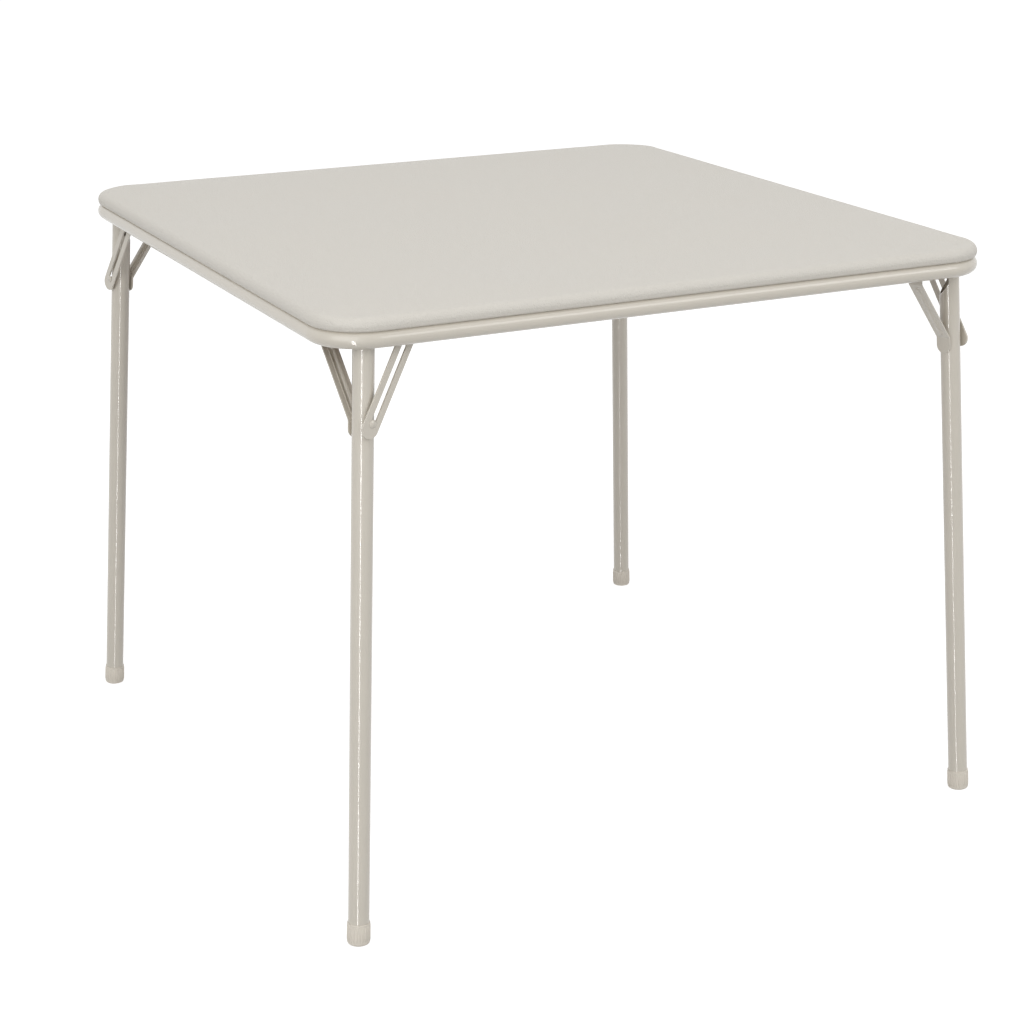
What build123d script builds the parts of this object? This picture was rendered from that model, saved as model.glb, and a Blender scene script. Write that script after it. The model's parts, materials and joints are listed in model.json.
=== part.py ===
from build123d import *
import math
import os

# Folding card table. The origin lies on the floor under the middle of the top, +Z is up.
# Each corner holds one leg unit. The units are alike, each a quarter turn on from the last,
# so every leg folds in beside the part of the rim that it stands behind.

# Whole table
table_width = 853.4
table_height = 708.7
top_thickness = 35.6

# Padded top
pad_corner_radius = 61.5
pad_top_round = 9.0
pad_bottom_round = 5.5
vinyl_thickness = 0.8
hem_width = 24.0
panel_thickness = 5.0
foam_wrap = 2.5
foam_lip_rise = 2.4
pad_seat_gap = 0.1

# Staples in the turned-under hem
staples_per_side = 6
staple_pitch = 112.0
staple_crown = 10.0
staple_wire_width = 1.2
staple_wire_thickness = 0.5
staple_leg = 4.2
staple_hem_margin = 4.0
staple_clearance = 0.03

# Rim tube, round outside and flat on its inner side
rim_height = 19.0
rim_wall = 1.2
rim_inset = 1.2
rim_flat_depth = 2.5
rim_edge_round = 1.5

# Clips on the rim's flat face, and the screws that go up through them into the panel
clips_per_side = 2
clip_pitch = 220.0
clip_width = 16.0
clip_reach = 14.0
clip_drop = 15.0
clip_thickness = 1.5
clip_corner_radius = 3.0
screw_radius = 1.75
screw_head_radius = 3.2
screw_head_height = 1.8
screw_bite = 3.6
screw_clearance = 0.2
thread_gap = 0.02

# Legs
leg_radius = 11.9
leg_wall = 1.2
leg_splay = 38.0
fold_turn = 14.0
leg_setback = 40.5
pivot_drop = 4.6
scarf_drop = 37.0
scarf_angle = 57.0
scarf_turn = 45.0
tongue_past_axis = 1.7

# Foot caps
cap_radius = 12.85
cap_height = 24.6
cap_floor = 4.0
cap_round = 3.5
cap_lip_round = 0.5
cap_fit = 0.03

# Slotted lock links
link_width = 21.5
link_thickness = 2.0
link_gap = 3.0
link_pivot_offset = 46.5
link_tail = 6.0
link_edge_round = 0.5
slot_width = 6.2
slot_top_margin = 13.0
lock_drop = 87.0

# Lock pins and lock rivets
lock_pin_radius = 2.5
lock_pin_head_radius = 4.0
lock_pin_head_height = 1.5
lock_head_radius = 4.6
lock_head_height = 1.8
slot_play = 0.1

# Braces
brace_width = 19.7
brace_thickness = 1.5
brace_reach = 62.0
brace_bend_drop = 87.0
brace_tab = 19.5
brace_eye_drop = 13.0
brace_bend_radius = 4.0
bead_radius = 4.0
bead_height = 1.8
bead_margin = 8.0

# Hanger brackets
hanger_thickness = 2.5
hanger_end_radius = 8.0
hanger_height = 13.0
hanger_flange = 18.0

# Pivot rivets and bushes
pivot_radius = 3.0
pivot_head_radius = 5.0
pivot_head_height = 2.4
bush_wall = 1.8
link_pivot_radius = 2.6
link_pivot_shoulder_radius = 5.0
link_pivot_head_radius = 4.6
link_pivot_head_height = 1.6
tail_radius = 4.2
tail_height = 1.5

# Fits
pin_play = 0.05
side_clearance = 0.3
rim_clearance = 0.6
tail_gap = 0.15
wall_fit = 0.02
overrun = 5.0

# Worked out from the sizes above
half_width = table_width / 2
rim_radius = rim_height / 2
rim_line = half_width - rim_inset - rim_radius
rim_flat = rim_line - rim_flat_depth
rim_bend = pad_corner_radius - rim_inset - rim_radius
rim_z = table_height - top_thickness + rim_radius
pad_bottom = rim_z + rim_radius + pad_seat_gap
pad_height = table_height - pad_bottom
panel_bottom = pad_bottom + vinyl_thickness
panel_half = half_width - vinyl_thickness - foam_wrap
panel_corner = pad_corner_radius - vinyl_thickness - foam_wrap

leg_bore = leg_radius - leg_wall
link_inner_face = leg_radius + link_gap
link_outer_face = link_inner_face + link_thickness
lock_head_base = link_outer_face + side_clearance
leg_to_rim = lock_head_base + lock_head_height + rim_clearance
pivot_x = -(rim_flat - leg_setback)
pivot_y = -(rim_flat - leg_to_rim)
pivot_z = rim_z - pivot_drop

# The fold swings in from the rim's side by fold_turn degrees. The hinge axis leans by what the
# splay asks for, so that the folded leg lies level.
fold_swing = math.radians(fold_turn)
hinge_lean = math.atan2(leg_splay * (math.cos(fold_swing) - math.sin(fold_swing)), pivot_z)
pivot = Vector(pivot_x, pivot_y, pivot_z)
fold_way = Vector(math.cos(fold_swing), math.sin(fold_swing), 0)
across = Vector(-math.sin(fold_swing), math.cos(fold_swing), 0)
inward = across * math.cos(hinge_lean) + Vector(0, 0, -math.sin(hinge_lean))
leg_down = Vector(-leg_splay, -leg_splay, -pivot_z)
leg_reach = leg_down.length
leg_down = leg_down.normalized()
leg_up = leg_down * -1
link_pivot = pivot + fold_way * link_pivot_offset
lock_point = pivot + leg_down * lock_drop
link_up = (link_pivot - lock_point).normalized()
link_length = (link_pivot - lock_point).length

# The hinge axis meets the rim's flat face at this tilt, so these reaches are measured along it.
rim_tilt = math.acos(math.cos(fold_swing) * math.cos(hinge_lean))
pivot_to_rim = leg_to_rim / math.cos(rim_tilt)
link_to_rim = (leg_to_rim + link_pivot_offset * math.sin(fold_swing)) / math.cos(rim_tilt)
tail_stand = rim_wall / math.cos(rim_tilt) + tail_radius * math.tan(rim_tilt) + tail_gap

hinge_frame = Plane(origin=pivot, x_dir=fold_way, z_dir=fold_way.cross(inward))
leg_frame = Plane(origin=pivot, x_dir=inward.cross(leg_up), z_dir=leg_up)
link_frame = Plane(origin=link_pivot, x_dir=inward.cross(link_up), z_dir=link_up)

corners = ["front_left", "front_right", "back_right", "back_left"]


def rounded_plate(half, corner, bottom, height):
    """A square plate with rounded corners, standing on the height bottom."""
    outline = RectangleRounded(2 * half, 2 * half, corner)
    return Pos(0, 0, bottom) * extrude(outline, amount=height)


def edges_at(solid, height):
    """The edges of a plate's outline that lie at one height."""
    return solid.edges().filter_by_position(Axis.Z, height, height)


def rod(radius, start, end):
    """A round bar along Y between two places."""
    return Pos(0, (start + end) / 2, 0) * Rot(90, 0, 0) * Cylinder(radius, abs(end - start))


def dome(radius, height, base, side):
    """A domed rivet head on Y whose flat face lies at base; side is 1 or -1 along Y."""
    ball = (radius**2 + height**2) / (2 * height)
    half_turn = math.asin(radius / ball) / 2
    middle = (ball * math.sin(half_turn), height - ball + ball * math.cos(half_turn))
    arc = ThreePointArc((radius, 0), middle, (0, height))
    face = make_face([Line((0, 0), (radius, 0)), arc, Line((0, height), (0, 0))])
    cap = revolve(face, Axis.Y)
    if side < 0:
        cap = Rot(180, 0, 0) * cap
    return Pos(0, base, 0) * cap


def seat_in_bore(head_radius):
    """How far from the leg's axis a flat head of this radius meets the leg's bore."""
    return math.sqrt(leg_bore**2 - head_radius**2)


def pad_cavity():
    """The space inside the vinyl."""
    bottom = panel_bottom
    height = pad_height - 2 * vinyl_thickness
    half = half_width - vinyl_thickness
    inside = rounded_plate(half, pad_corner_radius - vinyl_thickness, bottom, height)
    inside = fillet(edges_at(inside, bottom + height), pad_top_round - vinyl_thickness)
    return fillet(edges_at(inside, bottom), pad_bottom_round - vinyl_thickness)


def staple_places():
    """The staples' places: along each side, in from the hem's free edge."""
    line = half_width - hem_width + staple_hem_margin
    first = -staple_pitch * (staples_per_side - 1) / 2
    places = []
    for side in range(4):
        for count in range(staples_per_side):
            places.append(Rot(0, 0, 90 * side) * Pos(first + count * staple_pitch, -line, pad_bottom))
    return places


def staple(gap):
    """One staple, or with a gap the hole that it makes."""
    width = staple_wire_width + 2 * gap
    thickness = staple_wire_thickness + 2 * gap
    crown = Box(staple_crown, width, thickness, align=(Align.CENTER, Align.CENTER, Align.MAX))
    leg = Box(thickness, width, staple_leg + gap, align=(Align.CENTER, Align.CENTER, Align.MIN))
    offset = (staple_crown - staple_wire_thickness) / 2
    return crown + Pos(-offset, 0, 0) * leg + Pos(offset, 0, 0) * leg


def clip_places():
    """The clips' places: along each side, on the rim's flat face, just under the hem."""
    first = -clip_pitch * (clips_per_side - 1) / 2
    places = []
    for side in range(4):
        for count in range(clips_per_side):
            shift = Pos(first + count * clip_pitch, -rim_flat, pad_bottom - pad_seat_gap)
            places.append(Rot(0, 0, 90 * side) * shift)
    return places


def screw_bar(radius, bottom, top):
    """A round bar along Z on a clip's screw line, between two heights above the clip's top."""
    line = (clip_thickness + clip_reach) / 2
    return Pos(0, line, (bottom + top) / 2) * Cylinder(radius, top - bottom)


screw_tip = pad_seat_gap + vinyl_thickness + screw_bite


def make_vinyl_cover():
    shell = rounded_plate(half_width, pad_corner_radius, pad_bottom, pad_height)
    shell = fillet(edges_at(shell, table_height), pad_top_round)
    shell = fillet(edges_at(shell, pad_bottom), pad_bottom_round)
    opening_corner = pad_corner_radius - hem_width
    opening = rounded_plate(half_width - hem_width, opening_corner, pad_bottom - overrun, 2 * overrun)
    cover = shell - pad_cavity() - opening
    cover = cover - [place * staple(staple_clearance) for place in staple_places()]
    bore = screw_bar(screw_radius + screw_clearance, 0, screw_tip)
    return cover - [place * bore for place in clip_places()]


def make_top_panel():
    board = rounded_plate(panel_half, panel_corner, panel_bottom, panel_thickness)
    board = fillet(edges_at(board, panel_bottom), pad_bottom_round - vinyl_thickness - foam_wrap)
    board = board - [place * staple(staple_clearance) for place in staple_places()]
    pilot = screw_bar(screw_radius + thread_gap, 0, screw_tip + thread_gap)
    return board - [place * pilot for place in clip_places()]


def make_foam_pad():
    lip_bottom = panel_bottom + foam_lip_rise
    below = Pos(0, 0, lip_bottom) * Box(
        table_width, table_width, table_height, align=(Align.CENTER, Align.CENTER, Align.MAX)
    )
    board = rounded_plate(panel_half, panel_corner, panel_bottom, panel_thickness)
    return pad_cavity() - below - board


def make_hem_staples():
    return [place * staple(0) for place in staple_places()]


def rim_ring(inset):
    """The rim's section, drawn in by inset, carried round the four sides."""
    section = Circle(rim_radius)
    outside = 2 * rim_radius
    section -= Pos(-rim_flat_depth - rim_radius, 0) * Rectangle(outside, 2 * outside)
    section = fillet(section.vertices(), rim_edge_round)
    if inset > 0:
        section = offset(section, -inset)
    straight = rim_line - rim_bend
    upright = Plane(origin=(0, -rim_line, rim_z), x_dir=(0, -1, 0), z_dir=(1, 0, 0))
    side = extrude(upright * section, amount=straight, both=True)
    end = Pos(straight, 0, 0) * (upright * section)
    bend = revolve(end, Axis((straight, -straight, 0), (0, 0, 1)), 90)
    ring = side + bend
    for turn in (90, 180, 270):
        ring += Rot(0, 0, turn) * (side + bend)
    return ring


def make_rim_tube():
    tube = rim_blank - rim_ring(rim_wall)
    beyond = rim_wall + overrun / 2
    pivot_hole = rod(pivot_radius + wall_fit, -pivot_to_rim - beyond, overrun - pivot_to_rim)
    link_hole = rod(link_pivot_radius + wall_fit, -link_to_rim - beyond, overrun - link_to_rim)
    tube -= around(hinge_frame * pivot_hole)
    return tube - around(hinge_frame * Pos(link_pivot_offset, 0, 0) * link_hole)


def make_panel_clips():
    foot = Box(clip_width, clip_reach, clip_thickness, align=(Align.CENTER, Align.MIN, Align.MAX))
    free_corners = foot.edges().filter_by(Axis.Z).group_by(Axis.Y)[-1]
    foot = fillet(free_corners, clip_corner_radius)
    upright = Box(clip_width, clip_thickness, clip_drop, align=(Align.CENTER, Align.MIN, Align.MAX))
    clip = foot + upright - screw_bar(screw_radius + screw_clearance, -clip_drop, clip_thickness)
    return [place * clip for place in clip_places()]


def make_panel_screws():
    seat = -clip_thickness
    head = screw_bar(screw_head_radius, seat - screw_head_height, seat)
    head = fillet(head.edges().filter_by(GeomType.CIRCLE).sort_by(Axis.Z)[0], screw_head_height / 2)
    shank = screw_bar(screw_radius, seat, screw_tip)
    return [place * (head + shank) for place in clip_places()]


def make_leg_tube():
    bottom = cap_floor - leg_reach
    top = leg_radius
    tube = Pos(0, 0, (top + bottom) / 2) * Cylinder(leg_radius, top - bottom)
    tube -= Pos(0, 0, (top + bottom) / 2) * Cylinder(leg_bore, top - bottom + overrun)
    outer = leg_radius + overrun
    rise = (leg_radius - tongue_past_axis) * math.tan(math.radians(scarf_angle))
    step = outer - leg_radius
    corner_points = [
        (outer, -scarf_drop - step * math.tan(math.radians(scarf_angle))),
        (tongue_past_axis, -scarf_drop + rise),
        (tongue_past_axis, top + overrun),
        (outer, top + overrun),
    ]
    scarf = extrude(Plane.YZ * make_face(Polyline(corner_points, close=True)), amount=outer, both=True)
    tube -= Rot(0, 0, -scarf_turn) * scarf
    over = Box(4 * outer, 4 * outer, outer, align=(Align.CENTER, Align.CENTER, Align.MIN))
    tube -= over - rod(leg_radius, -outer, outer)
    tube -= rod(pivot_radius + pin_play, -outer, 0)
    tube -= Pos(0, 0, -lock_drop) * rod(lock_pin_radius + wall_fit, -outer, 0)
    return leg_frame * tube


def make_foot_cap():
    below = cap_radius * math.sqrt(2) * leg_splay / pivot_z + wall_fit
    bottom = -leg_reach - below
    top = -leg_reach + cap_height
    cap = Pos(0, 0, (top + bottom) / 2) * Cylinder(cap_radius, top - bottom)
    ends = cap.edges().filter_by(GeomType.CIRCLE).sort_by(Axis.Z)
    cap = fillet(ends[0], cap_round)
    ends = cap.edges().filter_by(GeomType.CIRCLE).sort_by(Axis.Z)
    cap = fillet(ends[-1], cap_lip_round)
    socket_bottom = cap_floor - leg_reach
    depth = top + overrun - socket_bottom
    cap -= Pos(0, 0, socket_bottom + depth / 2) * Cylinder(leg_radius + cap_fit, depth)
    span = 2 * table_width
    floor = Box(span, span, cap_height, align=(Align.CENTER, Align.CENTER, Align.MAX))
    return leg_frame * cap - floor


def brace_strap():
    """The bent strap: lower tab, slope, upper eye, seen along its width and drawn out."""
    tab_y = leg_radius + brace_thickness / 2
    route = FilletPolyline(
        (tab_y, -brace_bend_drop - brace_tab),
        (tab_y, -brace_bend_drop),
        (brace_reach, -brace_eye_drop),
        (brace_reach, brace_width / 2),
        radius=brace_bend_radius,
    )
    outline = Plane.YZ * trace(route, brace_thickness)
    strap = extrude(outline, amount=brace_width / 2, both=True)
    middle = -(brace_bend_drop + brace_tab) / 2
    mask = Plane.XZ * Pos(0, middle + brace_width / 4) * Rot(0, 0, 90) * SlotOverall(
        brace_bend_drop + brace_tab + brace_width / 2, brace_width
    )
    return strap & extrude(mask, amount=2 * brace_reach, both=True)


def bead(radius, sink):
    """The pressed bead along the brace's slope, its middle line sunk below the strap's lower face."""
    tab_y = leg_radius + brace_thickness / 2
    run_y = brace_reach - tab_y
    run_z = brace_bend_drop - brace_eye_drop
    run = math.hypot(run_y, run_z)
    slope = math.degrees(math.atan2(run_y, run_z))
    length = run - 2 * bead_margin
    body = Cylinder(radius, length) + Pos(0, 0, length / 2) * Sphere(radius)
    body += Pos(0, 0, -length / 2) * Sphere(radius)
    middle = Pos(0, (tab_y + brace_reach) / 2, -(brace_bend_drop + brace_eye_drop) / 2)
    return middle * Rot(-slope, 0, 0) * Pos(0, brace_thickness / 2 - sink, 0) * body


def make_brace():
    sink = bead_radius - bead_height
    brace = brace_strap()
    brace += bead(bead_radius, sink)
    brace -= bead(bead_radius - brace_thickness, sink)
    upper = bead(bead_radius + overrun, bead_radius + overrun + brace_thickness)
    brace -= upper & bead(bead_radius, sink)
    return leg_frame * (brace - rod(pivot_radius + pin_play, 0, 2 * brace_reach))


def make_lock_pin():
    base = seat_in_bore(lock_pin_head_radius)
    pin = rod(lock_pin_radius, -link_inner_face + side_clearance, -base)
    pin += rod(lock_pin_head_radius, -base, -base + lock_pin_head_height)
    return leg_frame * Pos(0, 0, -lock_drop) * pin


def make_link():
    bottom = link_length + link_tail
    outline = Pos(0, -bottom / 2) * Rot(0, 0, 90) * SlotCenterToCenter(bottom, link_width)
    slot_span = link_length - slot_top_margin
    slot = Pos(0, -(link_length + slot_top_margin) / 2) * Rot(0, 0, 90)
    outline -= slot * SlotCenterToCenter(slot_span, slot_width)
    outline -= Circle(link_pivot_radius + pin_play)
    plate = Pos(0, -link_inner_face, 0) * extrude(Plane.XZ * outline, amount=link_thickness)
    rims = plate.faces().filter_by(Axis.Y)
    plate = fillet([face.outer_wire().edges() for face in rims], link_edge_round)
    return link_frame * plate


def make_lock_rivet():
    shank = rod(slot_width / 2 - slot_play, -link_inner_face, -lock_head_base)
    head = dome(lock_head_radius, lock_head_height, -lock_head_base, -1)
    return link_frame * Pos(0, 0, -link_length) * (shank + head)


def make_hanger():
    start = brace_reach + brace_thickness / 2 + side_clearance
    drop = pivot_drop / math.cos(hinge_lean) + start * math.tan(hinge_lean)
    edge = (start * math.sin(fold_swing) - leg_setback) / math.cos(fold_swing)
    at_rim = Pos(edge, drop) * Rectangle(2 * hanger_thickness, hanger_height)
    face = make_hull((at_rim + Circle(hanger_end_radius)).edges())
    face -= Circle(pivot_radius + wall_fit)
    ear = Pos(0, start, 0) * extrude(Plane.XZ * face, amount=-hanger_thickness)
    corner = hinge_frame.from_local_coords(Vector(edge, start, drop))
    flange = Pos(-rim_flat, corner.Y, rim_z) * Box(
        hanger_thickness, hanger_flange, hanger_height, align=(Align.MIN, Align.MIN, Align.CENTER)
    )
    return hinge_frame * ear - rim_blank + flange


def make_pivot_rivet():
    tail = -pivot_to_rim - tail_stand
    base = -seat_in_bore(pivot_head_radius) + side_clearance
    rivet = rod(tail_radius, tail - tail_height, tail) + rod(pivot_radius, tail, base)
    return hinge_frame * (rivet + dome(pivot_head_radius, pivot_head_height, base, 1))


def make_pivot_bush():
    bore = pivot_radius + pin_play
    bush = rod(bore + bush_wall, -pivot_to_rim - overrun / 2, -leg_radius - side_clearance)
    bush -= rod(bore, -pivot_to_rim - overrun, 0)
    return hinge_frame * bush - rim_blank


def make_link_rivet():
    tail = -link_to_rim - tail_stand
    seat = -link_outer_face - side_clearance
    shoulder = rod(link_pivot_shoulder_radius, -link_to_rim - overrun / 2, seat)
    shoulder = hinge_frame * Pos(link_pivot_offset, 0, 0) * shoulder - rim_blank
    base = -link_inner_face + side_clearance
    rivet = rod(tail_radius, tail - tail_height, tail) + rod(link_pivot_radius, tail, base)
    rivet += dome(link_pivot_head_radius, link_pivot_head_height, base, 1)
    return shoulder + hinge_frame * Pos(link_pivot_offset, 0, 0) * rivet


def make_brace_rivet():
    eye = brace_reach - brace_thickness / 2 - side_clearance
    far = brace_reach + brace_thickness / 2 + side_clearance + hanger_thickness + tail_gap
    rivet = rod(pivot_radius, eye, far) + dome(pivot_head_radius, pivot_head_height, eye, -1)
    return hinge_frame * (rivet + rod(tail_radius, far, far + tail_height))


def around(shape):
    """The same shape at each of the four corners."""
    return [Rot(0, 0, 90 * turn) * shape for turn in range(4)]


def save(name, shapes):
    """Write one node, a solid or a group of separate solids."""
    shape = shapes
    if isinstance(shapes, list):
        shape = Compound(children=shapes)
    export_step(shape, os.path.join("parts", name + ".step"))


os.makedirs("parts", exist_ok=True)
rim_blank = rim_ring(0)
save("vinyl_cover", make_vinyl_cover())
save("foam_pad", make_foam_pad())
save("top_panel", make_top_panel())
save("hem_staples", make_hem_staples())
save("rim_tube", make_rim_tube())
save("panel_clips", make_panel_clips())
save("panel_screws", make_panel_screws())
save("leg_pivot_rivets", around(make_pivot_rivet()))
save("leg_pivot_bushes", around(make_pivot_bush()))
save("link_pivot_rivets", around(make_link_rivet()))
save("brace_pivot_rivets", around(make_brace_rivet()))

corner_pieces = {
    "leg_tube": make_leg_tube(),
    "foot_cap": make_foot_cap(),
    "leg_brace": make_brace(),
    "lock_pin": make_lock_pin(),
    "lock_link": make_link(),
    "lock_rivet": make_lock_rivet(),
    "brace_hanger": make_hanger(),
}
for piece, shape in corner_pieces.items():
    for corner, copy in zip(corners, around(shape)):
        save(corner + "_" + piece, copy)
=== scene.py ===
import json
import math

import bmesh
import bpy
from bpy.props import FloatProperty, FloatVectorProperty, IntProperty, PointerProperty
from mathutils import Matrix, Vector

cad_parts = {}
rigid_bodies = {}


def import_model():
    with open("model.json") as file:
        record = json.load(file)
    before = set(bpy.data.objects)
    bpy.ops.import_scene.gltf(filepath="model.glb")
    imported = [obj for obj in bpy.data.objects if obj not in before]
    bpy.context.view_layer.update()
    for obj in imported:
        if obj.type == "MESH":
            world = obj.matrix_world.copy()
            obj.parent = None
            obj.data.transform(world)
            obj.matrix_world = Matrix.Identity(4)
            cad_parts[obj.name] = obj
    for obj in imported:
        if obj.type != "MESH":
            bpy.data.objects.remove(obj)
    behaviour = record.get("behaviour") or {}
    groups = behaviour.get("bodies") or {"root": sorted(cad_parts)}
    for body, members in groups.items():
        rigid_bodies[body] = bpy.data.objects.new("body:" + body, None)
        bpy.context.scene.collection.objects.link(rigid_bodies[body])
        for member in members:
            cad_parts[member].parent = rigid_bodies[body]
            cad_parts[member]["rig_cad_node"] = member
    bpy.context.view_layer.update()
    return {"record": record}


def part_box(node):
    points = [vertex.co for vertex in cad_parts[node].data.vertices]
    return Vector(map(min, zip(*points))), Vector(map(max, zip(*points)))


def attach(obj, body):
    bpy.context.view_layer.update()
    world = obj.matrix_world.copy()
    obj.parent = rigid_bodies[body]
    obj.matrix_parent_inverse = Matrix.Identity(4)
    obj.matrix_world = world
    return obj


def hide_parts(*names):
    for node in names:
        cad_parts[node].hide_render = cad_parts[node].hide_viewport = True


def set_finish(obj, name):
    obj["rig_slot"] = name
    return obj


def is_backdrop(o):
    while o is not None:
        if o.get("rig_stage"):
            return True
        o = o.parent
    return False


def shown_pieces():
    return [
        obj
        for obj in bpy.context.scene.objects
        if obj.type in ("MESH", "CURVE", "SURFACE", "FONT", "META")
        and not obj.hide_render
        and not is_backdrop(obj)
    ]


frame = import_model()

bl_info = {
    "name": "Folding card table",
    "version": (1, 0, 0),
    "blender": (4, 5, 0),
    "location": "3D View > Sidebar > Card Table",
    "description": "Dresses the steel frame of a folding card table and adds its padded vinyl top",
    "category": "Object",
}

cover_low, cover_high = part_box("vinyl_cover")
corners = ("front_left", "front_right", "back_right", "back_left")

# Angles up to which faces are shaded as one, on plain edges, on vinyl and on small round things
plain_angle = math.radians(40)
vinyl_angle = math.radians(60)
round_angle = math.radians(70)

# A face counts as level, and an edge as upright, from this share of its direction
mostly = 0.9
# Points nearer than this are the same, and lengths that differ by less are equal
near = 0.0001

# Grid of the cover and the hem: steps round a corner and over the rolls, rings inside a
# corner with the radius they leave in its middle, and cuts along half of a straight side
corner_segments = 14
top_roll_steps = 6
under_roll_steps = 4
corner_rings = 4
corner_middle = 0.001
cuts_per_half = 30

# Pumping with foam: the edge that is held still ends this far up, and this is how long it takes
held_rise = 0.0012
cloth_frames = 20

# Hem: its overlap with the cover, and the waves that scissors left in its free edge
hem_overlap = 0.0005
edge_reach = 0.0002
long_wave = 31.0
short_wave = 73.0
side_shift = 9.0
short_wave_share = 0.6
wave_height = 0.0006

# Pleats, with their tilt in degrees
pleat_margin = 0.0045
pleat_width = 0.0052
pleat_height = 0.0009
pleat_bevel = 0.0004
pleat_bevel_segments = 3
pleat_taper = (1, 0.35, 0.5)
pleat_taper_rise = 0.0002
pleat_sink = 0.0004
pleat_tilt = 9

# Weld beads on the hanger brackets; a ripple's crest and lag are shares of its radius
bead_length = 0.011
bead_radius = 0.0014
bead_ripples = 6
bead_lower_rise = 0.006
bead_sink = 0.0004
bead_inset = 0.009
ripple_shape = (0.75, 1.0, 0.62)
ripple_crest = 0.3
ripple_lag = 0.18
ripple_segments = 14
ripple_rings = 8

# Foot caps
rib_sides = 10

# Studio: the floor, and the camera's place in metres and its angles in degrees
floor_size = 60
floor_white = 0.55
floor_glow = 0.75
camera_place = (-1.246, -2.471, 1.249)
camera_down = 18.69
camera_turn = -26.72
camera_reach = 200


class CoverSizes(bpy.types.PropertyGroup):
    """Sizes of the padded vinyl cover and of the hem stapled under it."""

    corner: FloatProperty(
        name="Corner radius", description="Radius of the pad's four corners, seen from above",
        default=0.0615, min=0.02, unit="LENGTH")
    top_roll: FloatProperty(
        name="Top roll", description="How far the pad's upper edge is rounded over",
        default=0.0092, min=0.002, unit="LENGTH")
    under_roll: FloatProperty(
        name="Under roll", description="How far the pad's lower edge tucks in towards the rim",
        default=0.0068, min=0.001, unit="LENGTH")
    droop: FloatProperty(
        name="Droop", description="How far the soft edge hangs over the rim's shoulder",
        default=0.0012, min=0.0, unit="LENGTH")
    swell: FloatProperty(
        name="Swell", description="How far the foam may push the vinyl out",
        default=0.0011, min=0.0, unit="LENGTH")
    thickness: FloatProperty(
        name="Vinyl thickness", description="Thickness of the vinyl sheet",
        default=0.0008, min=0.0002, unit="LENGTH")
    tuck: FloatProperty(
        name="Tuck", description="How far in from the pad's side the cover passes into the hem",
        default=0.0085, min=0.006, unit="LENGTH")
    hem: FloatProperty(
        name="Hem width", description="Width of the vinyl turned under the panel",
        default=0.024, min=0.012, unit="LENGTH")
    pleats: IntProperty(
        name="Pleats", description="Pleats gathered in the hem at each corner",
        default=7, min=3, max=11)


class FootCaps(bpy.types.PropertyGroup):
    """Sizes of the fine ribs moulded on the foot caps."""

    ribs: IntProperty(
        name="Ribs", description="Ribs round each foot cap",
        default=24, min=8, max=60)
    rib: FloatProperty(
        name="Rib radius", description="Radius of one rib",
        default=0.0007, min=0.0002, unit="LENGTH")
    ring: FloatProperty(
        name="Rib ring", description="Radius of the circle on which the ribs' middles lie",
        default=0.0126, min=0.005, unit="LENGTH")
    length: FloatProperty(
        name="Rib length", description="Length of one rib",
        default=0.0172, min=0.004, unit="LENGTH")
    leg: FloatProperty(
        name="Leg radius", description="Radius of the tube that wears the cap",
        default=0.0119, min=0.005, unit="LENGTH")


class Colours(bpy.types.PropertyGroup):
    """Colours of the finishes."""

    vinyl: FloatVectorProperty(
        name="Vinyl", description="Colour of the padded cover", subtype="COLOR",
        size=3, min=0.0, max=1.0, default=(0.645, 0.615, 0.558))
    enamel: FloatVectorProperty(
        name="Enamel", description="Colour of the painted steel", subtype="COLOR",
        size=3, min=0.0, max=1.0, default=(0.626, 0.582, 0.504))
    cap: FloatVectorProperty(
        name="Foot caps", description="Colour of the moulded foot caps", subtype="COLOR",
        size=3, min=0.0, max=1.0, default=(0.735, 0.682, 0.598))
    board: FloatVectorProperty(
        name="Hardboard", description="Colour of the panel under the pad", subtype="COLOR",
        size=3, min=0.0, max=1.0, default=(0.240, 0.140, 0.075))
    zinc: FloatVectorProperty(
        name="Zinc", description="Colour of the plated rivets, screws and staples", subtype="COLOR",
        size=3, min=0.0, max=1.0, default=(0.62, 0.62, 0.60))


class Studio(bpy.types.PropertyGroup):
    """Lights and camera."""

    sky: FloatProperty(
        name="Room light", description="Strength of the even light from all round",
        default=0.56, min=0.0)
    overhead: FloatProperty(
        name="Overhead light", description="Power of the wide lamp above the table",
        default=23.0, min=0.0, subtype="POWER")
    key: FloatProperty(
        name="Key light", description="Power of the large lamp at the front left",
        default=49.0, min=0.0, subtype="POWER")
    fill: FloatProperty(
        name="Fill light", description="Power of the large lamp at the right",
        default=24.0, min=0.0, subtype="POWER")
    gleam: FloatProperty(
        name="Gleam", description="Power of the narrow lamp that only shows as a line on the legs",
        default=42.0, min=0.0, subtype="POWER")
    lens: FloatProperty(
        name="Lens", description="Focal length of the camera, in millimetres",
        default=78.26, min=20.0)


def start_clean():
    """Nothing is selected, so the next operator acts on its own new piece."""
    if bpy.context.object and bpy.context.object.mode != "OBJECT":
        bpy.ops.object.mode_set(mode="OBJECT")
    bpy.ops.object.select_all(action="DESELECT")


def make_active(piece):
    """Select this piece alone and make it the one that operators act on."""
    start_clean()
    bpy.context.view_layer.objects.active = piece
    piece.select_set(True)


def edit_new(name):
    """Name the primitive just added and open it for shaping, all of it selected."""
    piece = bpy.context.object
    piece.name = name
    piece.data.name = name
    bpy.ops.object.mode_set(mode="EDIT")
    bpy.ops.mesh.select_all(action="SELECT")
    return piece


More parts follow.
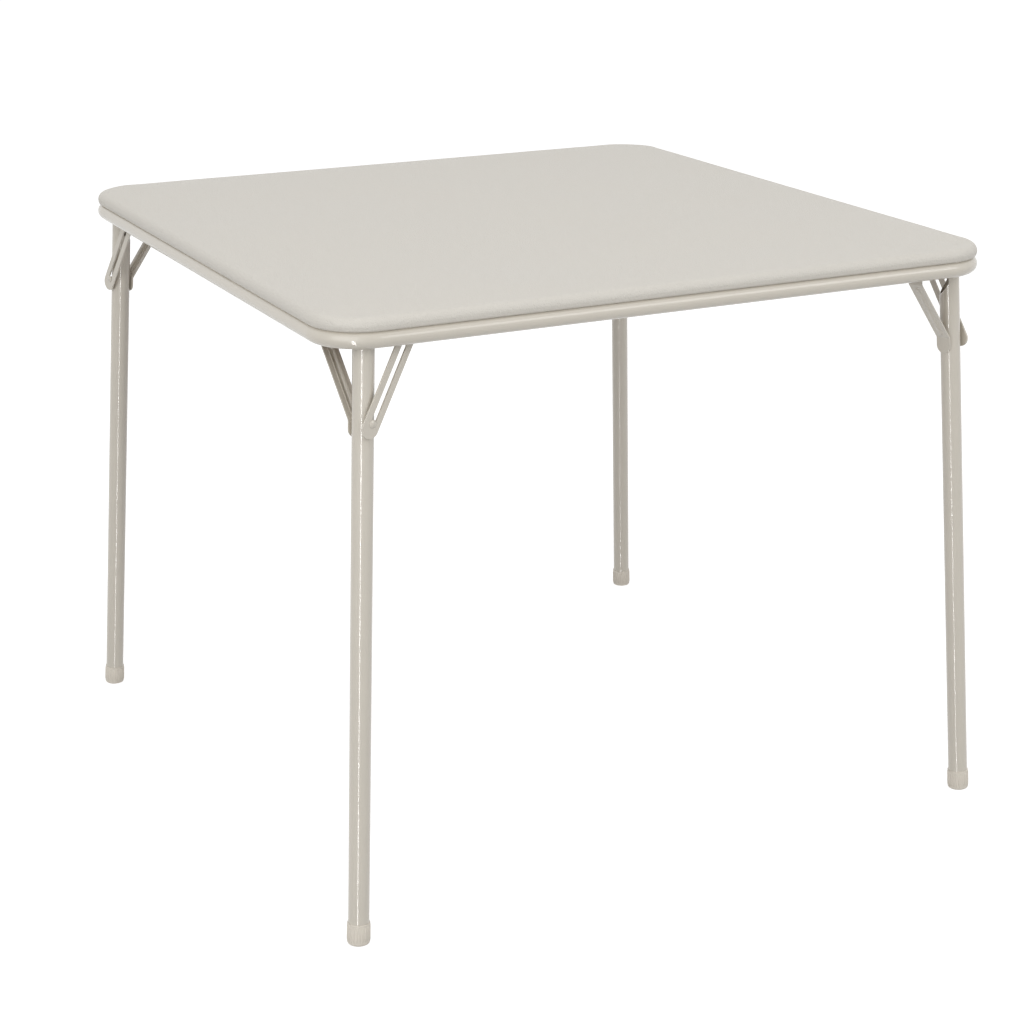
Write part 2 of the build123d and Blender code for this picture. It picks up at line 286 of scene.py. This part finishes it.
def choose(piece, kind, wanted):
    """Select only the vertices, edges or faces that pass the test."""
    bpy.ops.mesh.select_mode(type=kind)
    mesh = bmesh.from_edit_mesh(piece.data)
    for group in (mesh.verts, mesh.edges, mesh.faces):
        for part in group:
            part.select = False
    mesh.select_flush(False)
    parts = {"VERT": mesh.verts, "EDGE": mesh.edges, "FACE": mesh.faces}[kind]
    found = 0
    for part in parts:
        if wanted(part):
            part.select = True
            found += 1
    mesh.select_flush_mode()
    bmesh.update_edit_mesh(piece.data)
    if not found:
        raise RuntimeError("nothing to select on " + piece.name)


def apply_modifier(piece, kind, **settings):
    """Add one modifier with these settings and apply it."""
    make_active(piece)
    modifier = piece.modifiers.new(kind.title(), kind)
    for key, value in settings.items():
        setattr(modifier, key, value)
    bpy.ops.object.modifier_apply(modifier=modifier.name)


def smooth(piece, angle=plain_angle):
    """Shade the piece smooth, apart from edges sharper than the angle."""
    make_active(piece)
    bpy.ops.object.shade_smooth_by_angle(angle=angle)


def copy_of(piece, name, turn):
    """A copy with its own mesh, placed in its mesh by a matrix."""
    twin = piece.copy()
    twin.data = piece.data.copy()
    twin.name = name
    twin.data.name = name
    twin.data.transform(turn)
    bpy.context.scene.collection.objects.link(twin)
    return twin


def joined(pieces, name):
    """Several pieces made one."""
    start_clean()
    for piece in pieces:
        piece.select_set(True)
    bpy.context.view_layer.objects.active = pieces[0]
    if len(pieces) > 1:
        bpy.ops.object.join()
    piece = bpy.context.object
    piece.name = name
    piece.data.name = name
    return piece


def upright(edge):
    """True for an edge that runs straight up."""
    run = edge.verts[1].co - edge.verts[0].co
    return abs(run.z) > mostly * run.length


def roll_over(radius, steps):
    """Inset the chosen face step by step along a quarter round."""
    for step in range(steps):
        low = math.pi / 2 * step / steps
        high = math.pi / 2 * (step + 1) / steps
        bpy.ops.mesh.inset(
            thickness=radius * (math.cos(low) - math.cos(high)),
            depth=radius * (math.sin(high) - math.sin(low)))


def block_with_round_corners(name, half, corner, bottom, top):
    """A square block with rounded upright corners, open for shaping."""
    start_clean()
    bpy.ops.mesh.primitive_cube_add(size=1)
    piece = edit_new(name)
    bpy.ops.transform.resize(value=(2 * half, 2 * half, top - bottom))
    bpy.ops.transform.translate(value=(0, 0, (top + bottom) / 2))
    choose(piece, "EDGE", upright)
    bpy.ops.mesh.bevel(offset=corner, segments=corner_segments, affect="EDGES")
    return piece


def cut_both_ways(reach, cuts):
    """Cut the open piece both ways, at places counted from its middle out to its reach."""
    for normal in ((1, 0, 0), (0, 1, 0)):
        for cut in cuts:
            bpy.ops.mesh.select_all(action="SELECT")
            place = [reach * cut / cuts_per_half * share for share in normal]
            bpy.ops.mesh.bisect(plane_co=place, plane_no=normal)


def pump_with_foam(piece, swell, held_below):
    """Let the foam push the vinyl out a little, with the tucked edge held."""
    make_active(piece)
    rest = [v.co.copy() for v in piece.data.vertices]
    held = piece.vertex_groups.new(name="held")
    held.add([i for i, co in enumerate(rest) if co.z < held_below], 1.0, "REPLACE")
    cloth = piece.modifiers.new("Cloth", "CLOTH")
    cloth.settings.quality = 6
    cloth.settings.mass = 0.4
    cloth.settings.tension_stiffness = 20
    cloth.settings.compression_stiffness = 20
    cloth.settings.shear_stiffness = 8
    cloth.settings.bending_stiffness = 2.0
    cloth.settings.use_pressure = True
    cloth.settings.uniform_pressure_force = 3.0
    cloth.settings.vertex_group_mass = held.name
    cloth.settings.effector_weights.gravity = 0
    cloth.collision_settings.use_collision = False
    cloth.point_cache.frame_start = 1
    cloth.point_cache.frame_end = cloth_frames
    scene = bpy.context.scene
    for moment in range(1, cloth_frames + 1):
        scene.frame_set(moment)
    bpy.ops.object.modifier_apply(modifier=cloth.name)
    for vertex, before in zip(piece.data.vertices, rest):
        move = vertex.co - before
        if move.length > swell:
            vertex.co = before + move * (swell / move.length)
    piece.vertex_groups.clear()
    scene.frame_set(1)


class CARDTABLE_OT_padded_cover(bpy.types.Operator):
    """Model the padded vinyl cover: flat on top, full at its edge and tucked in over the rim"""

    bl_idname = "card_table.padded_cover"
    bl_label = "Padded cover"

    def execute(self, context):
        sizes = context.scene.card_table_cover
        half = cover_high.x - sizes.swell
        top = cover_high.z - sizes.swell
        bottom = cover_low.z
        piece = block_with_round_corners(
            "padded_cover", half, sizes.corner - sizes.swell,
            bottom - sizes.droop + sizes.under_roll, top - sizes.top_roll)
        choose(piece, "FACE", lambda face: face.normal.z > mostly)
        roll_over(sizes.top_roll, top_roll_steps)
        inner = sizes.corner - sizes.swell - sizes.top_roll
        for ring in range(corner_rings):
            bpy.ops.mesh.inset(thickness=(inner - corner_middle) / corner_rings)
        choose(piece, "FACE", lambda face: face.normal.z < -mostly)
        roll_over(sizes.under_roll, under_roll_steps)
        bpy.ops.mesh.inset(thickness=sizes.tuck - sizes.under_roll, depth=-sizes.droop)
        bpy.ops.mesh.delete(type="FACE")
        reach = half - sizes.corner + sizes.swell
        cut_both_ways(reach, range(1 - cuts_per_half, cuts_per_half))
        bpy.ops.mesh.select_all(action="SELECT")
        bpy.ops.mesh.remove_doubles(threshold=near)
        bpy.ops.object.mode_set(mode="OBJECT")
        pump_with_foam(piece, sizes.swell, bottom + held_rise)
        apply_modifier(piece, "SOLIDIFY", thickness=sizes.thickness, offset=-1.0)
        apply_modifier(piece, "SUBSURF", levels=1, render_levels=1)
        smooth(piece, vinyl_angle)
        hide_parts("vinyl_cover", "foam_pad")
        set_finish(piece, "vinyl")
        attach(piece, "top")
        return {"FINISHED"}


class CARDTABLE_OT_turned_hem(bpy.types.Operator):
    """Model the hem turned under the panel, with the pleats gathered at its corners"""

    bl_idname = "card_table.turned_hem"
    bl_label = "Turned hem"

    def execute(self, context):
        sizes = context.scene.card_table_cover
        outer = cover_high.x - sizes.tuck + hem_overlap
        width = sizes.hem - sizes.tuck + hem_overlap
        corner = sizes.corner - sizes.tuck + hem_overlap
        bottom = cover_low.z
        hem = block_with_round_corners(
            "turned_hem", outer, corner, bottom, bottom + sizes.thickness)
        choose(hem, "FACE", lambda face: abs(face.normal.z) > mostly)
        bpy.ops.mesh.inset(thickness=width)
        bpy.ops.mesh.bridge_edge_loops()
        reach = cover_high.x - sizes.corner
        cut_both_ways(reach, range(-cuts_per_half, cuts_per_half + 1))
        bpy.ops.object.mode_set(mode="OBJECT")
        self.cut_edge_by_hand(hem, outer - width, reach)
        smooth(hem)
        folds = self.pleats(sizes, outer, corner, width, bottom)
        hem = joined([hem] + folds, "turned_hem")
        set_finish(hem, "vinyl")
        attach(hem, "top")
        return {"FINISHED"}

    def cut_edge_by_hand(self, hem, line, reach):
        """The free edge runs a little in and out, as scissors leave it."""
        for vertex in hem.data.vertices:
            for axis in (0, 1):
                side, along = vertex.co[axis], vertex.co[1 - axis]
                if abs(abs(side) - line) < edge_reach and abs(along) < reach:
                    short = math.sin(along * short_wave + side * side_shift)
                    sway = math.sin(along * long_wave) + short_wave_share * short
                    vertex.co[axis] += math.copysign(wave_height, side) * sway

    def pleats(self, sizes, outer, corner, width, bottom):
        """Folded flaps of vinyl, fanned round each corner's centre."""
        centre = outer - corner
        start_clean()
        bpy.ops.mesh.primitive_cube_add(size=1)
        flap = edit_new("pleat")
        bpy.ops.transform.resize(value=(width - pleat_margin, pleat_width, pleat_height))
        bpy.ops.transform.translate(value=(centre + corner - width / 2 - pleat_margin, 0, 0))
        choose(flap, "EDGE", lambda edge: abs(edge.calc_length() - width + pleat_margin) < near)
        bpy.ops.mesh.bevel(offset=pleat_bevel, segments=pleat_bevel_segments, affect="EDGES")
        choose(flap, "VERT", lambda vert: vert.co.x > centre + corner - width / 2)
        bpy.ops.transform.resize(
            value=pleat_taper, center_override=(centre + corner, 0, pleat_taper_rise))
        bpy.ops.object.mode_set(mode="OBJECT")
        smooth(flap)
        flap.data.transform(Matrix.Translation((-centre, 0, bottom - pleat_sink)))
        made = []
        for quarter in range(4):
            middle = Matrix.Rotation(math.pi / 2 * quarter, 4, "Z")
            for count in range(sizes.pleats):
                share = (count + 0.5) / sizes.pleats
                turn = Matrix.Rotation(math.pi / 2 * share, 4, "Z")
                side = 1 - 2 * (count % 2)
                tilt = Matrix.Rotation(math.radians(pleat_tilt * side), 4, "X")
                place = middle @ Matrix.Translation((centre, centre, 0)) @ turn
                rise = Matrix.Translation((0, 0, bottom))
                lean = rise @ tilt @ Matrix.Translation((0, 0, -bottom))
                made.append(copy_of(flap, "pleat", place @ lean))
        bpy.data.objects.remove(flap)
        return made


def weld_bead(length, radius, lumps):
    """A run of overlapping weld ripples along X, with their middles on z = 0."""
    start_clean()
    ripples = []
    for count in range(lumps):
        place = length * ((count + 0.5) / lumps - 0.5)
        bpy.ops.mesh.primitive_uv_sphere_add(
            segments=ripple_segments, ring_count=ripple_rings, radius=radius)
        ripple = edit_new("ripple")
        bpy.ops.transform.resize(value=ripple_shape)
        bpy.ops.transform.translate(value=(place, 0, 0))
        choose(ripple, "FACE", lambda face: face.calc_center_median().z > radius * ripple_crest)
        bpy.ops.transform.translate(value=(-radius * ripple_lag, 0, 0))
        bpy.ops.object.mode_set(mode="OBJECT")
        ripples.append(ripple)
        start_clean()
    bead = joined(ripples, "weld_bead")
    smooth(bead, round_angle)
    return bead


def quarter_turns(piece, name_end, body, slot):
    """One piece at each corner, named for it and riding on its own body."""
    for count, corner in enumerate(corners):
        turn = Matrix.Rotation(math.pi / 2 * count, 4, "Z")
        twin = copy_of(piece, corner + "_" + name_end, turn)
        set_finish(twin, slot)
        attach(twin, body.format(corner))
    bpy.data.objects.remove(piece)


class CARDTABLE_OT_welds(bpy.types.Operator):
    """Add the weld beads where the hanger brackets meet the rim"""

    bl_idname = "card_table.welds"
    bl_label = "Weld beads"

    def execute(self, context):
        low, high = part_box("front_left_brace_hanger")
        bead = weld_bead(bead_length, bead_radius, bead_ripples)
        runs = []
        for height in (low.z + bead_lower_rise, high.z - bead_sink):
            place = Matrix.Translation((low.x + bead_sink, high.y - bead_inset, height))
            runs.append(copy_of(bead, "run", place @ Matrix.Rotation(math.pi / 2, 4, "Z")))
        bpy.data.objects.remove(bead)
        quarter_turns(joined(runs, "hanger_weld"), "hanger_weld", "top", "beige_enamel")
        return {"FINISHED"}


class CARDTABLE_OT_cap_ribs(bpy.types.Operator):
    """Add the fine ribs moulded down the side of each foot cap"""

    bl_idname = "card_table.cap_ribs"
    bl_label = "Cap ribs"

    def execute(self, context):
        caps = context.scene.card_table_caps
        start_clean()
        bpy.ops.mesh.primitive_cylinder_add(
            vertices=rib_sides, radius=caps.rib, depth=caps.length)
        rib = edit_new("rib")
        bpy.ops.transform.translate(value=(caps.ring, 0, 0))
        choose(rib, "FACE", lambda face: abs(face.normal.z) > mostly)
        bpy.ops.mesh.inset(thickness=caps.rib / 2, depth=caps.rib / 2)
        bpy.ops.object.mode_set(mode="OBJECT")
        smooth(rib, round_angle)
        step = 2 * math.pi / caps.ribs
        turns = [Matrix.Rotation(step * count, 4, "Z") for count in range(caps.ribs)]
        ribs = [copy_of(rib, "rib", turn) for turn in turns]
        bpy.data.objects.remove(rib)
        ring = joined(ribs, "cap_ribs")
        # The leg leans, and its box less its own thickness shows by how much
        low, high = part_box("front_left_leg_tube")
        along = Vector((
            high.x - low.x - 2 * caps.leg, high.y - low.y - 2 * caps.leg, high.z - low.z))
        low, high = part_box("front_left_foot_cap")
        middle = Vector([(low[axis] + high[axis]) / 2 for axis in range(3)])
        turn = along.to_track_quat("Z", "Y").to_matrix().to_4x4()
        ring.data.transform(Matrix.Translation(middle) @ turn)
        quarter_turns(ring, "cap_ribs", "{}_leg", "foot_plastic")
        return {"FINISHED"}


def node(tree, kind, place, **values):
    """A shader node with its settings and its plain input values."""
    made = tree.nodes.new(kind)
    made.location = place
    for key, value in values.items():
        if key in made.inputs:
            made.inputs[key].default_value = value
        else:
            setattr(made, key, value)
    return made


def shared_group(name, inputs, outputs):
    """A node group with named sockets, and its two end nodes."""
    group = bpy.data.node_groups.new(name, "ShaderNodeTree")
    for label, kind, value in inputs:
        socket = group.interface.new_socket(name=label, in_out="INPUT", socket_type=kind)
        socket.default_value = value
    for label, kind in outputs:
        group.interface.new_socket(name=label, in_out="OUTPUT", socket_type=kind)
    start = node(group, "NodeGroupInput", (-700, 0))
    end = node(group, "NodeGroupOutput", (500, 0))
    return group, start, end


def make_tone_drift():
    """Slow change of tone over a surface, with the same change as a plain value."""
    group, start, end = shared_group(
        "Tone drift",
        [("Color", "NodeSocketColor", (0.8, 0.8, 0.8, 1)), ("Amount", "NodeSocketFloat", 0.03),
         ("Scale", "NodeSocketFloat", 6.0)],
        [("Color", "NodeSocketColor"), ("Drift", "NodeSocketFloat")])
    link = group.links.new
    place = node(group, "ShaderNodeTexCoord", (-700, -260))
    noise = node(group, "ShaderNodeTexNoise", (-460, -120), Detail=5.0, Roughness=0.55)
    link(place.outputs["Object"], noise.inputs["Vector"])
    link(start.outputs["Scale"], noise.inputs["Scale"])
    spread = node(group, "ShaderNodeMapRange", (-260, -120))
    spread.inputs["From Min"].default_value = 0.3
    spread.inputs["From Max"].default_value = 0.7
    link(noise.outputs["Fac"], spread.inputs["Value"])
    swing = node(group, "ShaderNodeMath", (-60, -120), operation="MULTIPLY_ADD")
    centred = node(group, "ShaderNodeMath", (-60, -300), operation="SUBTRACT")
    centred.inputs[1].default_value = 0.5
    link(spread.outputs["Result"], centred.inputs[0])
    link(centred.outputs[0], swing.inputs[0])
    link(start.outputs["Amount"], swing.inputs[1])
    swing.inputs[2].default_value = 1.0
    tint = node(group, "ShaderNodeVectorMath", (200, 40), operation="SCALE")
    link(start.outputs["Color"], tint.inputs[0])
    link(swing.outputs[0], tint.inputs["Scale"])
    link(tint.outputs["Vector"], end.inputs["Color"])
    link(spread.outputs["Result"], end.inputs["Drift"])
    return group


def make_pebble_grain():
    """Raised rounded pebbles of uneven size, as height."""
    group, start, end = shared_group(
        "Pebble grain",
        [("Scale", "NodeSocketFloat", 700.0), ("Unevenness", "NodeSocketFloat", 0.4)],
        [("Height", "NodeSocketFloat")])
    link = group.links.new
    place = node(group, "ShaderNodeTexCoord", (-700, -260))
    cells = node(group, "ShaderNodeTexVoronoi", (-420, 60), feature="SMOOTH_F1", Smoothness=0.35)
    noise = node(group, "ShaderNodeTexNoise", (-420, -240), Detail=3.0)
    for texture in (cells, noise):
        link(place.outputs["Object"], texture.inputs["Vector"])
        link(start.outputs["Scale"], texture.inputs["Scale"])
    dip = node(group, "ShaderNodeMath", (-180, 60), operation="MULTIPLY_ADD")
    link(cells.outputs["Distance"], dip.inputs[0])
    dip.inputs[1].default_value = -1.0
    dip.inputs[2].default_value = 1.0
    add = node(group, "ShaderNodeMath", (60, 0), operation="MULTIPLY_ADD")
    link(noise.outputs["Fac"], add.inputs[0])
    link(start.outputs["Unevenness"], add.inputs[1])
    link(dip.outputs[0], add.inputs[2])
    link(add.outputs[0], end.inputs["Height"])
    return group


def place_group(tree, group, place, **values):
    """Put a shared group into a material, with this material's own values."""
    made = tree.nodes.new("ShaderNodeGroup")
    made.node_tree = group
    made.location = place
    for key, value in values.items():
        made.inputs[key].default_value = value
    return made


def finish_of(
        name, colour, drift, grain, shader, amount, scale, rough, grain_scale, unevenness, depth):
    """A material: tone that drifts, roughness that follows it, and a raised grain."""
    material = bpy.data.materials.new(name)
    material.use_nodes = True
    tree = material.node_tree
    link = tree.links.new
    surface = tree.nodes["Principled BSDF"]
    for key, value in shader.items():
        surface.inputs[key].default_value = value
    tone = place_group(tree, drift, (-700, 200), Color=(*colour, 1), Amount=amount, Scale=scale)
    link(tone.outputs["Color"], surface.inputs["Base Color"])
    spread = node(tree, "ShaderNodeMapRange", (-420, 0))
    spread.inputs["To Min"].default_value = rough[0]
    spread.inputs["To Max"].default_value = rough[1]
    link(tone.outputs["Drift"], spread.inputs["Value"])
    link(spread.outputs["Result"], surface.inputs["Roughness"])
    height = place_group(tree, grain, (-700, -260), Scale=grain_scale, Unevenness=unevenness)
    bump = node(tree, "ShaderNodeBump", (-420, -260), Strength=1.0, Distance=depth)
    link(height.outputs["Height"], bump.inputs["Height"])
    link(bump.outputs["Normal"], surface.inputs["Normal"])
    return material


def make_hardboard(drift, grain, colour):
    """Pressed fibre with the screen pattern on its back."""
    material = finish_of(
        "Hardboard", colour, drift, grain, {"Specular IOR Level": 0.3},
        amount=0.3, scale=38.0, rough=(0.55, 0.75), grain_scale=900.0, unevenness=0.8, depth=0.0001)
    tree = material.node_tree
    link = tree.links.new
    surface = tree.nodes["Principled BSDF"]
    place = node(tree, "ShaderNodeTexCoord", (-1200, -500))
    waves = []
    for row, direction in enumerate(("X", "Y")):
        wave = node(tree, "ShaderNodeTexWave", (-960, -420 - 260 * row),
                    bands_direction=direction, Scale=150.0, Distortion=1.2)
        link(place.outputs["Object"], wave.inputs["Vector"])
        waves.append(wave)
    screen = node(tree, "ShaderNodeMath", (-700, -500), operation="MULTIPLY")
    link(waves[0].outputs["Fac"], screen.inputs[0])
    link(waves[1].outputs["Fac"], screen.inputs[1])
    press = node(tree, "ShaderNodeBump", (-200, -400), Strength=0.7, Distance=0.0003)
    link(screen.outputs[0], press.inputs["Height"])
    below = surface.inputs["Normal"].links[0].from_socket
    link(below, press.inputs["Normal"])
    link(press.outputs["Normal"], surface.inputs["Normal"])
    return material


class CARDTABLE_OT_finishes(bpy.types.Operator):
    """Give every piece its vinyl, enamel, plastic, zinc or hardboard finish"""

    bl_idname = "card_table.finishes"
    bl_label = "Finishes"

    def execute(self, context):
        colours = context.scene.card_table_colours
        drift = make_tone_drift()
        grain = make_pebble_grain()
        vinyl = finish_of(
            "Vinyl", colours.vinyl, drift, grain, {"Specular IOR Level": 0.8}, amount=0.035,
            scale=5.0, rough=(0.46, 0.58), grain_scale=620.0, unevenness=0.5, depth=0.0004)
        enamel = finish_of(
            "Beige enamel", colours.enamel, drift, grain,
            {"Coat Weight": 0.8, "Coat Roughness": 0.11}, amount=0.03,
            scale=14.0, rough=(0.34, 0.42), grain_scale=420.0, unevenness=1.2, depth=0.00001)
        cap = finish_of(
            "Cap plastic", colours.cap, drift, grain, {"Specular IOR Level": 0.6}, amount=0.04,
            scale=40.0, rough=(0.44, 0.56), grain_scale=1400.0, unevenness=0.9, depth=0.00006)
        zinc = finish_of(
            "Zinc steel", colours.zinc, drift, grain, {"Metallic": 1.0},
            amount=0.18, scale=160.0, rough=(0.28, 0.46), grain_scale=1200.0, unevenness=1.0,
            depth=0.00003)
        board = make_hardboard(drift, grain, colours.board)
        by_slot = {"vinyl": vinyl, "foam": vinyl, "beige_enamel": enamel, "foot_plastic": cap,
                   "zinc_steel": zinc, "hardboard": board}
        slots = {part["node"]: part["material_slot"] for part in frame["record"]["subparts"]}
        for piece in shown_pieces():
            if "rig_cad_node" in piece:
                slot = slots[piece["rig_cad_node"]]
            else:
                slot = piece["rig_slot"]
            piece.data.materials.clear()
            piece.data.materials.append(by_slot[slot])
        return {"FINISHED"}


def area_lamp(name, place, aim, width, height, power):
    """A flat lamp turned towards a point."""
    lamp = bpy.data.lights.new(name, "AREA")
    lamp.shape = "RECTANGLE"
    lamp.size = width
    lamp.size_y = height
    lamp.energy = power
    holder = bpy.data.objects.new(name, lamp)
    holder.location = place
    holder.rotation_euler = (Vector(aim) - Vector(place)).to_track_quat("-Z", "Y").to_euler()
    bpy.context.scene.collection.objects.link(holder)
    return holder


class CARDTABLE_OT_studio(bpy.types.Operator):
    """Set the floor, the lamps and the camera"""

    bl_idname = "card_table.studio"
    bl_label = "Studio"

    def execute(self, context):
        studio = context.scene.card_table_studio
        scene = context.scene
        start_clean()
        bpy.ops.mesh.primitive_plane_add(size=floor_size)
        floor = bpy.context.object
        floor.name = "studio_floor"
        floor.data.materials.append(self.floor_finish())
        # Gloss sees past the floor, to the white room and to the narrow lamp that starts below it
        floor.visible_glossy = False
        floor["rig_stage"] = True
        self.room(scene, studio.sky)
        area_lamp("overhead_lamp", place=(0, 0, 3.4), aim=(0, 0, 0),
                  width=4.0, height=4.0, power=studio.overhead)
        area_lamp("key_lamp", place=(-2.9, -2.2, 2.0), aim=(0, 0, 0.45),
                  width=3.2, height=3.2, power=studio.key)
        area_lamp("fill_lamp", place=(1.7, -3.0, 2.2), aim=(0, 0, 0.5),
                  width=2.4, height=1.2, power=studio.fill)
        strip = area_lamp("strip_lamp", place=(-1.69, -2.25, -0.62), aim=(0, 0, 0.48),
                          width=0.3, height=2.5, power=studio.gleam)
        # Only gloss shows this lamp: it adds no light to the paint itself
        strip.visible_diffuse = False
        camera = bpy.data.cameras.new("camera")
        camera.sensor_width = 36
        camera.lens = studio.lens
        camera.clip_end = camera_reach
        holder = bpy.data.objects.new("camera", camera)
        holder.location = camera_place
        holder.rotation_euler = (math.radians(90 - camera_down), 0, math.radians(camera_turn))
        scene.collection.objects.link(holder)
        scene.camera = holder
        scene.view_settings.view_transform = "Standard"
        return {"FINISHED"}

    def floor_finish(self):
        """White to the camera from above, with the table's shadow kept, and clear from below."""
        material = bpy.data.materials.new("Studio floor")
        material.use_nodes = True
        tree = material.node_tree
        tree.nodes.clear()
        link = tree.links.new
        path = node(tree, "ShaderNodeLightPath", (-600, 200))
        glow = node(tree, "ShaderNodeMath", (-220, 200), operation="MULTIPLY")
        link(path.outputs["Is Camera Ray"], glow.inputs[0])
        glow.inputs[1].default_value = floor_glow
        light = node(tree, "ShaderNodeEmission", (0, 200), Color=(1, 1, 1, 1))
        link(glow.outputs[0], light.inputs["Strength"])
        white = (floor_white, floor_white, floor_white, 1)
        matt = node(tree, "ShaderNodeBsdfDiffuse", (0, 0), Color=white)
        both = node(tree, "ShaderNodeAddShader", (220, 100))
        link(light.outputs[0], both.inputs[0])
        link(matt.outputs[0], both.inputs[1])
        side = node(tree, "ShaderNodeNewGeometry", (220, 300))
        clear = node(tree, "ShaderNodeBsdfTransparent", (220, -60))
        sides = node(tree, "ShaderNodeMixShader", (420, 100))
        link(side.outputs["Backfacing"], sides.inputs[0])
        link(both.outputs[0], sides.inputs[1])
        link(clear.outputs[0], sides.inputs[2])
        end = node(tree, "ShaderNodeOutputMaterial", (620, 100))
        link(sides.outputs[0], end.inputs["Surface"])
        return material

    def room(self, scene, strength):
        """Even light, seen as white by the camera and in gloss."""
        world = bpy.data.worlds.new("room")
        scene.world = world
        world.use_nodes = True
        tree = world.node_tree
        link = tree.links.new
        back = tree.nodes["Background"]
        back.inputs["Color"].default_value = (1, 1, 1, 1)
        path = node(tree, "ShaderNodeLightPath", (-800, 0))
        seen = node(tree, "ShaderNodeMath", (-560, 0), operation="MAXIMUM")
        link(path.outputs["Is Camera Ray"], seen.inputs[0])
        link(path.outputs["Is Glossy Ray"], seen.inputs[1])
        mix = node(tree, "ShaderNodeMix", (-300, 0), data_type="FLOAT")
        link(seen.outputs[0], mix.inputs["Factor"])
        mix.inputs["A"].default_value = strength
        mix.inputs["B"].default_value = 1.0
        link(mix.outputs["Result"], back.inputs["Strength"])


class VIEW3D_PT_card_table(bpy.types.Panel):
    """Sidebar panel with one button for each step"""

    bl_label = "Card Table"
    bl_idname = "VIEW3D_PT_card_table"
    bl_space_type = "VIEW_3D"
    bl_region_type = "UI"
    bl_category = "Card Table"

    def draw(self, context):
        scene = context.scene
        for group in (scene.card_table_cover, scene.card_table_caps,
                      scene.card_table_colours, scene.card_table_studio):
            box = self.layout.box()
            for key in group.bl_rna.properties.keys():
                if key not in ("rna_type", "name"):
                    box.prop(group, key)
        for step in steps:
            self.layout.operator(step.bl_idname)


steps = (
    CARDTABLE_OT_padded_cover,
    CARDTABLE_OT_turned_hem,
    CARDTABLE_OT_welds,
    CARDTABLE_OT_cap_ribs,
    CARDTABLE_OT_finishes,
    CARDTABLE_OT_studio,
)
classes = (CoverSizes, FootCaps, Colours, Studio) + steps + (VIEW3D_PT_card_table,)


def register():
    for kind in classes:
        bpy.utils.register_class(kind)
    bpy.types.Scene.card_table_cover = PointerProperty(type=CoverSizes)
    bpy.types.Scene.card_table_caps = PointerProperty(type=FootCaps)
    bpy.types.Scene.card_table_colours = PointerProperty(type=Colours)
    bpy.types.Scene.card_table_studio = PointerProperty(type=Studio)


def unregister():
    del bpy.types.Scene.card_table_cover
    del bpy.types.Scene.card_table_caps
    del bpy.types.Scene.card_table_colours
    del bpy.types.Scene.card_table_studio
    for kind in reversed(classes):
        bpy.utils.unregister_class(kind)


def main():
    register()
    bpy.ops.card_table.padded_cover()
    bpy.ops.card_table.turned_hem()
    bpy.ops.card_table.welds()
    bpy.ops.card_table.cap_ribs()
    bpy.ops.card_table.finishes()
    bpy.ops.card_table.studio()


if __name__ == "__main__":
    main()
